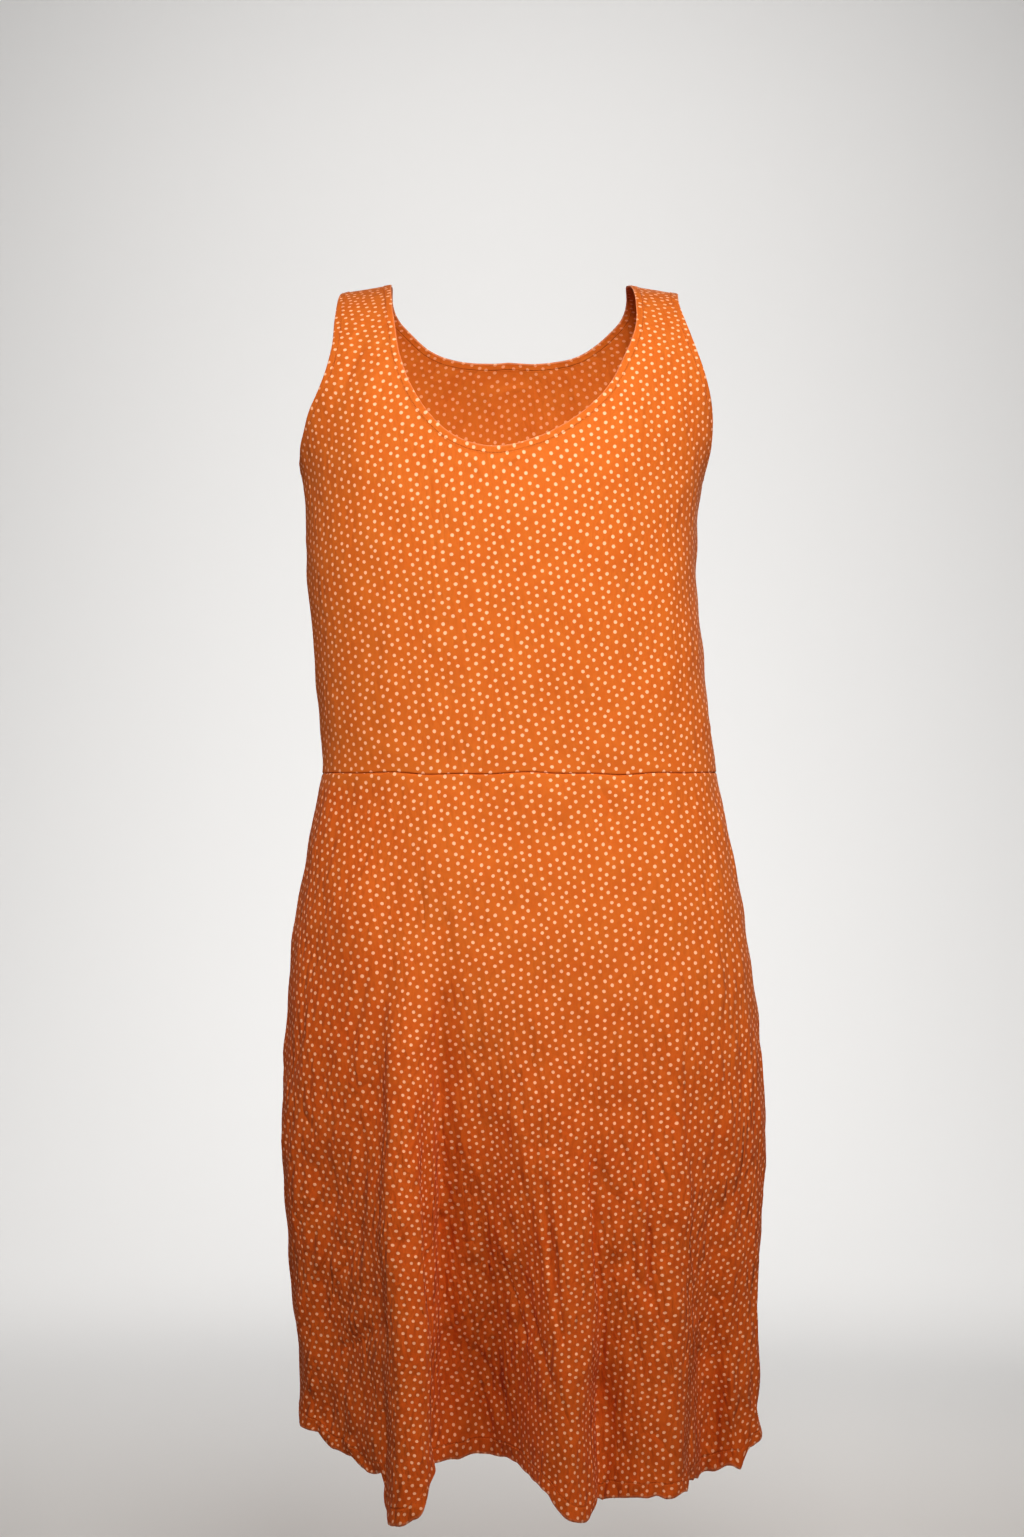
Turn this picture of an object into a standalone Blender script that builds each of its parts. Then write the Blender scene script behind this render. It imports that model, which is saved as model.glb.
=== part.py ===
# A sleeveless scoop neck dress in the hollow shape it has when it is worn.
# Metres, +Z up. The front faces -Y. The origin is midway between the straps, on the shoulder line.
# "turn" runs across a panel, 0 at the side seam at -X and 1 at the side seam at +X.
# "down" is the distance below the shoulder line.

from collections import namedtuple
import math

import bpy
import numpy as np

WALL = 0.0012
TURNED_WALL = 0.0020
SEAM_GAP = 0.0003
HEM_TURN_UP = 0.015
SEAM_DEPTH = 0.090

VAULT_DROP = 0.170
SHOULDER_SLOPE = 0.17
STRAP_CENTRE = 0.123
WAIST_DOWN = 0.420
SKIRT_LENGTH = 0.580
SQUARENESS = 0.055
BEND_RADIUS = 0.005
SIDEWAYS_PULL = 0.20
SOFT_SHAPE = 2.0

SCOOP_COLUMNS = 14
STRAP_COLUMNS = 6
STRAP_SAG = 0.10
STRAP_ROWS = 9
BODICE_ROWS = 15
SKIRT_COLUMNS = {"front": 64, "back": 44}
SKIRT_ROWS = 22
DENSE = 900

ORANGE = (0.80, 0.17, 0.03, 1.0)
DEEP_ORANGE = (0.60, 0.10, 0.02, 1.0)

FRONT = -1
BACK = 1

# Half the seam gap, as a turn at the side seams and as a level at the shoulders.
SIDE_TRIM = SEAM_GAP / 2 / (SEAM_DEPTH * math.pi)
SHOULDER_TRIM = SEAM_GAP / 2 / (SEAM_DEPTH * math.pi / 2)

Knot = namedtuple("Knot", "place turn level")

# Half widths to each side and depths to the front and back of the worn shape.
Section = namedtuple("Section", "down left right front back")
SECTIONS = (
    Section(0.000, 0.205, 0.200, 0.115, 0.100),
    Section(0.070, 0.197, 0.192, 0.115, 0.100),
    Section(0.134, 0.184, 0.179, 0.115, 0.100),
    Section(0.160, 0.179, 0.171, 0.116, 0.099),
    Section(0.190, 0.176, 0.165, 0.117, 0.098),
    Section(0.236, 0.175, 0.163, 0.115, 0.094),
    Section(0.298, 0.170, 0.167, 0.110, 0.090),
    Section(0.360, 0.165, 0.173, 0.105, 0.090),
    Section(0.420, 0.162, 0.180, 0.103, 0.094),
    Section(0.463, 0.170, 0.189, 0.105, 0.100),
    Section(0.508, 0.179, 0.198, 0.110, 0.108),
    Section(0.595, 0.190, 0.212, 0.118, 0.118),
    Section(0.694, 0.195, 0.221, 0.121, 0.122),
    Section(0.743, 0.196, 0.222, 0.120, 0.122),
    Section(0.807, 0.193, 0.219, 0.116, 0.119),
    Section(0.859, 0.189, 0.216, 0.112, 0.116),
    Section(0.926, 0.182, 0.215, 0.106, 0.112),
    Section(1.010, 0.180, 0.217, 0.103, 0.110),
)

# The neck edges as they are cut, from one shoulder to the other. "down" leaves out the slope of
# the shoulder.
NeckMark = namedtuple("NeckMark", "across down")
NECKLINES = {
    "front": (
        NeckMark(-0.102, 0.000),
        NeckMark(-0.097, 0.040),
        NeckMark(-0.090, 0.076),
        NeckMark(-0.080, 0.101),
        NeckMark(-0.065, 0.123),
        NeckMark(-0.045, 0.140),
        NeckMark(-0.014, 0.149),
        NeckMark(0.014, 0.145),
        NeckMark(0.051, 0.128),
        NeckMark(0.079, 0.104),
        NeckMark(0.098, 0.070),
        NeckMark(0.108, 0.042),
        NeckMark(0.109, 0.020),
        NeckMark(0.103, 0.000),
    ),
    "back": (
        NeckMark(-0.102, 0.000),
        NeckMark(-0.092, 0.030),
        NeckMark(-0.062, 0.055),
        NeckMark(0.000, 0.066),
        NeckMark(0.063, 0.055),
        NeckMark(0.094, 0.030),
        NeckMark(0.103, 0.000),
    ),
}

# The armholes, from the shoulder to the underarm. "in_turn" is the turn from the nearer side seam.
ArmMark = namedtuple("ArmMark", "in_turn down")
ARMHOLES = {
    ("front", "left"): (
        ArmMark(0.268, 0.000),
        ArmMark(0.254, 0.030),
        ArmMark(0.246, 0.055),
        ArmMark(0.224, 0.080),
        ArmMark(0.169, 0.109),
        ArmMark(0.105, 0.135),
        ArmMark(0.045, 0.150),
        ArmMark(0.000, 0.154),
    ),
    ("front", "right"): (
        ArmMark(0.256, 0.000),
        ArmMark(0.249, 0.020),
        ArmMark(0.218, 0.050),
        ArmMark(0.174, 0.082),
        ArmMark(0.125, 0.112),
        ArmMark(0.090, 0.138),
        ArmMark(0.045, 0.155),
        ArmMark(0.000, 0.160),
    ),
    ("back", "left"): (
        ArmMark(0.268, 0.000),
        ArmMark(0.262, 0.030),
        ArmMark(0.246, 0.062),
        ArmMark(0.210, 0.094),
        ArmMark(0.155, 0.124),
        ArmMark(0.080, 0.147),
        ArmMark(0.000, 0.154),
    ),
    ("back", "right"): (
        ArmMark(0.256, 0.000),
        ArmMark(0.252, 0.030),
        ArmMark(0.236, 0.062),
        ArmMark(0.200, 0.096),
        ArmMark(0.145, 0.128),
        ArmMark(0.078, 0.152),
        ArmMark(0.000, 0.160),
    ),
}

# The hem's level where no fold pulls it down.
HemMark = namedtuple("HemMark", "turn down")
HEMS = {
    "front": (
        HemMark(0.00, 0.978),
        HemMark(0.13, 0.980),
        HemMark(0.19, 0.991),
        HemMark(0.26, 1.001),
        HemMark(0.34, 1.008),
        HemMark(0.46, 0.994),
        HemMark(0.54, 1.005),
        HemMark(0.61, 1.022),
        HemMark(0.70, 1.021),
        HemMark(0.77, 1.013),
        HemMark(0.88, 1.004),
        HemMark(1.00, 0.988),
    ),
    "back": (
        HemMark(0.00, 0.978),
        HemMark(0.25, 0.992),
        HemMark(0.50, 1.000),
        HemMark(0.75, 0.999),
        HemMark(1.00, 0.988),
    ),
}

# Flutes stand out (depth > 0) or sink in (depth < 0). They grow from "start", a share of the
# skirt's length, to the hem. "lean" tips the crest towards +X. "drop" is how far the hem hangs
# lower there. "shape" at the hem is 2 for a soft wave and under 1 for a finger with steep sides.
Fold = namedtuple("Fold", "hem_turn top_turn start depth half_width lean drop shape")
FOLDS = {
    "front": (
        Fold(0.140, 0.150, 0.15, 0.010, 0.075, 0.000, 0.000, 2.0),
        Fold(0.245, 0.235, 0.35, -0.014, 0.060, 0.000, 0.000, 2.0),
        Fold(0.356, 0.360, 0.20, 0.072, 0.035, 0.000, 0.026, 0.5),
        Fold(0.452, 0.450, 0.15, -0.038, 0.080, 0.000, 0.000, 1.4),
        Fold(0.562, 0.585, 0.45, 0.050, 0.050, 0.008, 0.026, 1.3),
        Fold(0.666, 0.665, 0.40, 0.030, 0.060, 0.016, 0.003, 1.0),
        Fold(0.775, 0.765, 0.45, -0.028, 0.050, 0.000, 0.000, 1.4),
        Fold(0.900, 0.880, 0.30, 0.008, 0.060, 0.000, 0.000, 2.0),
    ),
    "back": (
        Fold(0.160, 0.150, 0.20, 0.016, 0.080, 0.000, 0.000, 2.0),
        Fold(0.300, 0.300, 0.35, -0.018, 0.070, 0.000, 0.000, 2.0),
        Fold(0.430, 0.420, 0.25, 0.030, 0.070, -0.006, 0.000, 1.6),
        Fold(0.570, 0.560, 0.30, -0.020, 0.075, 0.000, 0.000, 2.0),
        Fold(0.700, 0.690, 0.20, 0.026, 0.070, 0.006, 0.000, 1.6),
        Fold(0.850, 0.850, 0.35, -0.010, 0.065, 0.000, 0.000, 2.0),
    ),
}


def clear_scene():
    for item in list(bpy.data.objects):
        bpy.data.objects.remove(item, do_unlink=True)


def read_table(rows, place, value, at):
    """One column of a table as a smooth curve through its rows."""
    places = np.array([getattr(row, place) for row in rows])
    values = np.array([getattr(row, value) for row in rows])
    slopes = np.gradient(values, places)
    at = np.clip(at, places[0], places[-1])
    cell = np.clip(np.searchsorted(places, at) - 1, 0, len(places) - 2)
    width = places[cell + 1] - places[cell]
    share = (at - places[cell]) / width
    rise = share * share * (3 - 2 * share)
    leave = share * (1 - share) ** 2 * width
    arrive = share * share * (1 - share) * width
    return (
        values[cell] * (1 - rise)
        + values[cell + 1] * rise
        + slopes[cell] * leave
        - slopes[cell + 1] * arrive
    )


def vault_angle(down):
    """How far round the shoulder a height lies: 0 on the shoulder line, a right angle at the chest."""
    return np.arccos(np.clip(1 - down / VAULT_DROP, 0, 1))


def level_of(down):
    """Levels run 0 to 1 over the shoulder and go on below it at the same pace."""
    down = np.asarray(down, float)
    below = np.maximum(down - VAULT_DROP, 0) / (VAULT_DROP * math.pi / 2)
    return vault_angle(down) / (math.pi / 2) + below


def down_of(level):
    angle = np.clip(level, 0, 1) * math.pi / 2
    below = np.maximum(level - 1, 0) * VAULT_DROP * math.pi / 2
    return VAULT_DROP * (1 - np.cos(angle)) + below


def section_factors(turn):
    angle = turn * math.pi
    square = 1 + SQUARENESS * np.sin(2 * angle) ** 2
    return -np.cos(angle) * square, np.sin(angle) * square


def across_of(turn, down):
    along, _ = section_factors(turn)
    left = read_table(SECTIONS, "down", "left", down)
    right = read_table(SECTIONS, "down", "right", down)
    return along * np.where(along < 0, left, right)


def turn_of(across, down):
    """The turn at which the section at one height has this distance across."""
    turns = np.linspace(0, 1, 181)
    return np.interp(across, across_of(turns, np.full_like(turns, down)), turns)


def body_points(side, turn, level):
    """Points of the worn shape, with no folds."""
    turn = np.asarray(turn, float)
    level = np.asarray(level, float)
    down = down_of(level)
    vault = np.clip(level, 0, 1) * math.pi / 2
    _, depth_factor = section_factors(turn)
    depth = read_table(SECTIONS, "down", "front" if side == FRONT else "back", down)
    across = across_of(turn, down)
    slope = SHOULDER_SLOPE * (np.abs(across) - STRAP_CENTRE) * np.cos(vault)
    back = side * depth * depth_factor * np.sin(vault)
    return np.stack([across, back, -down - slope], axis=-1)


def evenly(points, values, count):
    """Values at count + 1 places an equal length apart along a line of points."""
    steps = np.linalg.norm(np.diff(points, axis=0), axis=1)
    length = np.concatenate([[0], np.cumsum(steps)])
    wanted = np.linspace(0, length[-1], count + 1)
    return np.stack([np.interp(wanted, length, column) for column in values.T], axis=-1)


def edge_trace(side, turns, downs, count):
    """A cut edge as (turn, level) pairs, evenly spaced from its first mark to its last."""
    levels = level_of(downs)
    steps = np.hypot(np.diff(turns) / 2, np.diff(levels) / 4)
    places = np.concatenate([[0], np.cumsum(steps)])
    places /= places[-1]
    knots = [Knot(*row) for row in zip(places, turns, levels)]
    fine = np.linspace(0, 1, DENSE)
    line = np.stack(
        [
            read_table(knots, "place", "turn", fine),
            read_table(knots, "place", "level", fine),
        ],
        axis=-1,
    )
    return evenly(body_points(side, line[:, 0], line[:, 1]), line, count)


def neck_trace(panel, side, count):
    marks = NECKLINES[panel]
    turns = np.array([float(turn_of(mark.across, mark.down)) for mark in marks])
    return edge_trace(side, turns, [mark.down for mark in marks], count)


def arm_trace(panel, side, arm, count):
    marks = ARMHOLES[panel, arm]
    turns = np.array([mark.in_turn for mark in marks])
    turns = turns if arm == "left" else 1 - turns
    return edge_trace(side, turns, [mark.down for mark in marks], count)


def quads_between(rows):
    """Quads that join each row of vertex numbers to the next."""
    return [
        (upper[cell], lower[cell], lower[cell + 1], upper[cell + 1])
        for upper, lower in zip(rows, rows[1:])
        for cell in range(len(upper) - 1)
    ]


def strap_pairs(first_edge, second_edge):
    """Rows across a strap. They sag towards its foot, so that they leave the armhole squarely."""
    share = np.linspace(0, 1, STRAP_COLUMNS + 1)[None, :, None]
    pairs = first_edge[:, None] * (1 - share) + second_edge[:, None] * share
    growth = np.linspace(0, 1, len(first_edge))[:, None] ** 2
    pairs[:, :, 1] += STRAP_SAG * growth * np.sin(math.pi * share[:, :, 0])
    return pairs


def waist_pairs(side, count):
    """The bodice's lower edge, evenly spaced from side seam to side seam."""
    turns = np.linspace(0, 1, DENSE)
    levels = np.full_like(turns, level_of(WAIST_DOWN - SEAM_GAP / 2))
    line = np.stack([turns, levels], axis=-1)
    return evenly(body_points(side, turns, levels), line, count)


def bodice_sheet(panel, side):
    """The bodice's middle surface: a body below the scoop and a strap on each side of it."""
    neck = neck_trace(panel, side, 2 * STRAP_ROWS + SCOOP_COLUMNS)
    left_arm = arm_trace(panel, side, "left", STRAP_ROWS)
    right_arm = arm_trace(panel, side, "right", STRAP_ROWS)
    left_strap = strap_pairs(left_arm, neck[: STRAP_ROWS + 1])
    right_strap = strap_pairs(neck[::-1][: STRAP_ROWS + 1], right_arm)
    scoop = neck[STRAP_ROWS : STRAP_ROWS + SCOOP_COLUMNS + 1]
    top = np.concatenate([left_strap[-1][:-1], scoop, right_strap[-1][1:]])
    waist = waist_pairs(side, len(top) - 1)
    share = np.linspace(0, 1, BODICE_ROWS + 1)[:, None, None]
    body = top * (1 - share) + waist * share
    numbers = {}
    faces = []
    for block in (left_strap, right_strap, body):
        keys = [[tuple(pair) for pair in np.round(row, 9)] for row in block]
        rows = [[numbers.setdefault(key, len(numbers)) for key in row] for row in keys]
        faces += quads_between(rows)
    pairs = np.array(list(numbers))
    turned = np.concatenate([neck[1:-1], left_arm[1:-1], right_arm[1:-1]])
    thick = [numbers[tuple(pair)] for pair in np.round(turned, 9)]
    turn = np.clip(pairs[:, 0], SIDE_TRIM, 1 - SIDE_TRIM)
    level = np.maximum(pairs[:, 1], SHOULDER_TRIM)
    return body_points(side, turn, level), faces, thick


def fold_shift(panel, turn, share):
    """How far the folds move the cloth out, to the side and down."""
    out = np.zeros_like(turn)
    sideways = np.zeros_like(turn)
    drop = np.zeros_like(turn)
    for fold in FOLDS[panel]:
        grown = np.clip((share - fold.start) / (1 - fold.start), 0, 1)
        growth = grown ** 1.3
        middle = fold.top_turn + (fold.hem_turn - fold.top_turn) * share
        offset = np.clip(np.abs(turn - middle) / fold.half_width, 0, 1)
        bump = (1 - offset ** 2) ** (SOFT_SHAPE + (fold.shape - SOFT_SHAPE) * growth)
        out += fold.depth * growth * bump
        sideways += fold.lean * growth * bump
        drop += fold.drop * grown ** 3 * bump
    return out, sideways, drop


def softened(line, spacing):
    """The line with its corners rounded, because cloth can't bend sharper than this."""
    reach = int(round(2 * BEND_RADIUS / spacing))
    places = np.arange(-reach, reach + 1) * spacing
    weights = np.exp(-0.5 * (places / (BEND_RADIUS * 0.7)) ** 2)
    weights /= weights.sum()
    before = 2 * line[0] - line[reach:0:-1]
    after = 2 * line[-1] - line[-2 : -reach - 2 : -1]
    padded = np.concatenate([before, line, after])
    return np.stack([np.convolve(column, weights, "valid") for column in padded.T], axis=-1)


def skirt_row(panel, side, share):
    """One ring of the skirt, from side seam to side seam, evenly spaced along the cloth."""
    turn = np.linspace(SIDE_TRIM, 1 - SIDE_TRIM, DENSE)
    top = WAIST_DOWN + SEAM_GAP / 2
    hem = read_table(HEMS[panel], "turn", "down", turn)
    points = body_points(side, turn, level_of(top + (hem - top) * share))
    sideways_pull = -np.cos(turn * math.pi) * SIDEWAYS_PULL
    forward_pull = side * np.sin(turn * math.pi)
    pull = np.hypot(sideways_pull, forward_pull)
    out, lean, drop = fold_shift(panel, turn, share)
    points[:, 0] += out * sideways_pull / pull + lean
    points[:, 1] += out * forward_pull / pull
    points[:, 2] -= drop
    line = evenly(points, points, DENSE)
    spacing = float(np.linalg.norm(line[1] - line[0]))
    soft = softened(line, spacing)
    return evenly(soft, soft, SKIRT_COLUMNS[panel])


def skirt_sheet(panel, side):
    """The skirt's middle surface. Its last row of quads is the turned up hem."""
    last = 1 - HEM_TURN_UP / SKIRT_LENGTH
    shares = np.append(np.linspace(0, last, SKIRT_ROWS), 1.0)
    points = np.array([skirt_row(panel, side, share) for share in shares])
    numbers = np.arange(points.shape[0] * points.shape[1]).reshape(points.shape[:2])
    thick = numbers[-2:].ravel().tolist()
    return points.reshape(-1, 3), quads_between(numbers.tolist()), thick


def cloth_material(name, colour):
    material = bpy.data.materials.new(name)
    material.use_nodes = True
    shader = material.node_tree.nodes["Principled BSDF"]
    shader.inputs["Base Color"].default_value = colour
    shader.inputs["Roughness"].default_value = 0.85
    shader.inputs["Metallic"].default_value = 0.0
    return material


def cloth_wall(name, side, sheet, colour):
    """A closed wall, made by thickening a sheet to both sides, and more where its edge is doubled."""
    points, faces, thick = sheet
    ordered = [face if side == FRONT else face[::-1] for face in faces]
    mesh = bpy.data.meshes.new(name)
    mesh.from_pydata([tuple(point) for point in points], [], ordered)
    mesh.materials.append(cloth_material(name, colour))
    mesh.shade_smooth()
    panel = bpy.data.objects.new(name, mesh)
    bpy.context.scene.collection.objects.link(panel)
    doubled = panel.vertex_groups.new(name="doubled cloth")
    doubled.add(thick, 1.0, "REPLACE")
    thicken = panel.modifiers.new("Cloth thickness", "SOLIDIFY")
    thicken.thickness = TURNED_WALL
    thicken.vertex_group = doubled.name
    thicken.thickness_vertex_group = WALL / TURNED_WALL
    thicken.offset = 0
    thicken.use_even_offset = True


def main():
    clear_scene()
    for panel, side in (("front", FRONT), ("back", BACK)):
        cloth_wall(f"{panel}_bodice", side, bodice_sheet(panel, side), ORANGE)
        cloth_wall(f"{panel}_skirt", side, skirt_sheet(panel, side), DEEP_ORANGE)


main()
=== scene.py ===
# A sleeveless dress of light crinkled cloth with small cream dots, hollow as it is worn.
# Metres, +Z up, the front faces -Y. "turn" runs across a panel, from 0 at the side seam at -X to
# 1 at +X. "down" is the distance below the shoulder line.

from collections import namedtuple
import math

import bpy
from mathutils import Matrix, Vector
from mathutils.bvhtree import BVHTree
import numpy as np


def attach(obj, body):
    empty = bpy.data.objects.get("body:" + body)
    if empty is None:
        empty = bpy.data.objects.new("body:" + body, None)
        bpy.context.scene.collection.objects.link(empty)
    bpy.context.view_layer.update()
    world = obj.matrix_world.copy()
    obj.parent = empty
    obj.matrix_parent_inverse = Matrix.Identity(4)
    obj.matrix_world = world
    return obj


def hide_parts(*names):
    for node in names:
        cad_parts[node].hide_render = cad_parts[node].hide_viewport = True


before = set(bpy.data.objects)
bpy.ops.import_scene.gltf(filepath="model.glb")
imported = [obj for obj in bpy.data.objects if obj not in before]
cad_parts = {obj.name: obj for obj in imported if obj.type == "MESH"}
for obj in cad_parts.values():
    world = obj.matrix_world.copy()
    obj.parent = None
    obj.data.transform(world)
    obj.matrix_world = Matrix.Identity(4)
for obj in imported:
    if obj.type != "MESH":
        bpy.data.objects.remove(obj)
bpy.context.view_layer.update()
bpy.ops.object.select_all(action="DESELECT")
print("frame loaded:", sorted(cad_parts))

front = -1
back = 1

form = {
    "vaultDrop": 0.170,
    "shoulderSlope": 0.17,
    "strapCentre": 0.123,
    "waistDown": 0.420,
    "squareness": 0.055,
    "bendRadius": 0.005,
    "sidewaysPull": 0.20,
    "softShape": 2.0,
    "strapSag": 0.10,
    "dense": 1800,
}


def rowsOf(kind, *rows):
    return [kind(*row) for row in rows]


sectionRow = namedtuple("sectionRow", "down left right front back")
sections = rowsOf(
    sectionRow,
    (0, 0.205, 0.2, 0.115, 0.1),
    (0.07, 0.197, 0.192, 0.115, 0.1),
    (0.134, 0.184, 0.179, 0.115, 0.1),
    (0.16, 0.179, 0.171, 0.116, 0.099),
    (0.19, 0.176, 0.165, 0.117, 0.098),
    (0.236, 0.175, 0.163, 0.115, 0.094),
    (0.298, 0.17, 0.167, 0.11, 0.09),
    (0.36, 0.165, 0.173, 0.105, 0.09),
    (0.42, 0.162, 0.18, 0.103, 0.094),
    (0.463, 0.17, 0.189, 0.105, 0.1),
    (0.508, 0.179, 0.198, 0.11, 0.108),
    (0.595, 0.19, 0.212, 0.118, 0.118),
    (0.694, 0.195, 0.221, 0.121, 0.122),
    (0.743, 0.196, 0.222, 0.12, 0.122),
    (0.807, 0.193, 0.219, 0.116, 0.119),
    (0.859, 0.189, 0.216, 0.112, 0.116),
    (0.926, 0.182, 0.215, 0.106, 0.112),
    (1.01, 0.18, 0.217, 0.103, 0.11),
)

neckMark = namedtuple("neckMark", "across down")
necklines = {}
necklines[front] = rowsOf(
    neckMark,
    (-0.102, 0), (-0.097, 0.04), (-0.09, 0.076), (-0.08, 0.101), (-0.065, 0.123),
    (-0.045, 0.14), (-0.014, 0.149), (0.014, 0.145), (0.051, 0.128), (0.079, 0.104),
    (0.098, 0.07), (0.108, 0.042), (0.109, 0.02), (0.103, 0),
)
necklines[back] = rowsOf(
    neckMark,
    (-0.102, 0), (-0.092, 0.03), (-0.062, 0.055), (0, 0.066), (0.063, 0.055),
    (0.094, 0.03), (0.103, 0),
)

armMark = namedtuple("armMark", "inTurn down")
armholes = {}
armholes[front, "left"] = rowsOf(
    armMark,
    (0.268, 0), (0.254, 0.03), (0.246, 0.055), (0.224, 0.08), (0.169, 0.109),
    (0.105, 0.135), (0.045, 0.15), (0, 0.154),
)
armholes[front, "right"] = rowsOf(
    armMark,
    (0.256, 0), (0.249, 0.02), (0.218, 0.05), (0.174, 0.082), (0.125, 0.112),
    (0.09, 0.138), (0.045, 0.155), (0, 0.16),
)
armholes[back, "left"] = rowsOf(
    armMark,
    (0.268, 0), (0.262, 0.03), (0.246, 0.062), (0.21, 0.094), (0.155, 0.124),
    (0.08, 0.147), (0, 0.154),
)
armholes[back, "right"] = rowsOf(
    armMark,
    (0.256, 0), (0.252, 0.03), (0.236, 0.062), (0.2, 0.096), (0.145, 0.128),
    (0.078, 0.152), (0, 0.16),
)

hemMark = namedtuple("hemMark", "turn down")
hems = {}
hems[front] = rowsOf(
    hemMark,
    (0, 0.978), (0.13, 0.98), (0.19, 0.991), (0.26, 1.001), (0.34, 1.008), (0.46, 0.994),
    (0.54, 1.005), (0.61, 1.022), (0.7, 1.021), (0.77, 1.013), (0.88, 1.004), (1, 0.988),
)
hems[back] = rowsOf(
    hemMark,
    (0, 0.978), (0.25, 0.992), (0.5, 1), (0.75, 0.999), (1, 0.988),
)

foldColumns = "hemTurn topTurn start depth halfWidth shape drop lean"
foldRow = namedtuple("foldRow", foldColumns, defaults=(2, 0, 0))
folds = {}
folds[front] = rowsOf(
    foldRow,
    (0.14, 0.15, 0.15, 0.01, 0.075),
    (0.245, 0.235, 0.35, -0.014, 0.06),
    (0.356, 0.36, 0.2, 0.072, 0.035, 0.5, 0.026),
    (0.452, 0.45, 0.15, -0.038, 0.08, 1.4),
    (0.562, 0.585, 0.45, 0.05, 0.05, 1.3, 0.026, 0.008),
    (0.666, 0.665, 0.4, 0.03, 0.06, 1, 0.003, 0.016),
    (0.775, 0.765, 0.45, -0.028, 0.05, 1.4),
    (0.9, 0.88, 0.3, 0.008, 0.06),
)
folds[back] = rowsOf(
    foldRow,
    (0.16, 0.15, 0.2, 0.016, 0.08),
    (0.3, 0.3, 0.35, -0.018, 0.07),
    (0.43, 0.42, 0.25, 0.03, 0.07, 1.6, 0, -0.006),
    (0.57, 0.56, 0.3, -0.02, 0.075),
    (0.7, 0.69, 0.2, 0.026, 0.07, 1.6, 0, 0.006),
    (0.85, 0.85, 0.35, -0.01, 0.065),
)


def readTable(rows, place, value, at):
    # one column of a table as a smooth curve through its rows
    places = np.array([getattr(row, place) for row in rows])
    values = np.array([getattr(row, value) for row in rows])
    slopes = np.gradient(values, places)
    at = np.clip(at, places[0], places[-1])
    cell = np.clip(np.searchsorted(places, at) - 1, 0, len(places) - 2)
    width = places[cell + 1] - places[cell]
    share = (at - places[cell]) / width
    rise = share * share * (3 - 2 * share)
    leave = share * (1 - share) ** 2 * width
    arrive = share * share * (1 - share) * width
    return (
        values[cell] * (1 - rise)
        + values[cell + 1] * rise
        + slopes[cell] * leave
        - slopes[cell + 1] * arrive
    )


def levelOf(down):
    # levels run 0 to 1 over the shoulder and go on below it at the same pace
    down = np.asarray(down, float)
    vault = np.arccos(np.clip(1 - down / form["vaultDrop"], 0, 1))
    below = np.maximum(down - form["vaultDrop"], 0) / (form["vaultDrop"] * math.pi / 2)
    return vault / (math.pi / 2) + below


def downOf(level):
    angle = np.clip(level, 0, 1) * math.pi / 2
    below = np.maximum(level - 1, 0) * form["vaultDrop"] * math.pi / 2
    return form["vaultDrop"] * (1 - np.cos(angle)) + below


def sectionFactors(turn):
    angle = turn * math.pi
    square = 1 + form["squareness"] * np.sin(2 * angle) ** 2
    return -np.cos(angle) * square, np.sin(angle) * square


def acrossOf(turn, down):
    along, _ = sectionFactors(turn)
    left = readTable(sections, "down", "left", down)
    right = readTable(sections, "down", "right", down)
    return along * np.where(along < 0, left, right)


def turnOf(across, down):
    turns = np.linspace(0, 1, 361)
    return np.interp(across, acrossOf(turns, np.full_like(turns, down)), turns)


def bodyPoints(side, turn, level):
    turn = np.asarray(turn, float)
    level = np.asarray(level, float)
    down = downOf(level)
    vault = np.clip(level, 0, 1) * math.pi / 2
    _, depthFactor = sectionFactors(turn)
    depth = readTable(sections, "down", "front" if side == front else "back", down)
    across = acrossOf(turn, down)
    slope = form["shoulderSlope"] * (np.abs(across) - form["strapCentre"]) * np.cos(vault)
    outward = side * depth * depthFactor * np.sin(vault)
    return np.stack([across, outward, -down - slope], axis=-1)


def lengthsAlong(points):
    steps = np.linalg.norm(np.diff(points, axis=0), axis=1)
    return np.concatenate([[0], np.cumsum(steps)])


def atShares(points, values, shares):
    # values at these shares of the length of a line of points
    length = lengthsAlong(points)
    wanted = np.asarray(shares) * length[-1]
    return np.stack([np.interp(wanted, length, column) for column in values.T], axis=-1)


def edgeTrace(side, turns, downs, count):
    # a cut edge as (turn, level) pairs, evenly spaced from its first mark to its last
    levels = levelOf(downs)
    steps = np.hypot(np.diff(turns) / 2, np.diff(levels) / 4)
    places = np.concatenate([[0], np.cumsum(steps)])
    places /= places[-1]
    knot = namedtuple("knot", "place turn level")
    knots = [knot(*row) for row in zip(places, turns, levels)]
    fine = np.linspace(0, 1, form["dense"])
    line = np.stack(
        [readTable(knots, "place", "turn", fine), readTable(knots, "place", "level", fine)],
        axis=-1,
    )
    return atShares(bodyPoints(side, line[:, 0], line[:, 1]), line, np.linspace(0, 1, count + 1))


def neckTrace(side, count):
    marks = necklines[side]
    turns = np.array([float(turnOf(mark.across, mark.down)) for mark in marks])
    return edgeTrace(side, turns, [mark.down for mark in marks], count)


def armTrace(side, arm, count):
    marks = armholes[side, arm]
    turns = np.array([mark.inTurn for mark in marks])
    turns = turns if arm == "left" else 1 - turns
    return edgeTrace(side, turns, [mark.down for mark in marks], count)


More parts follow.
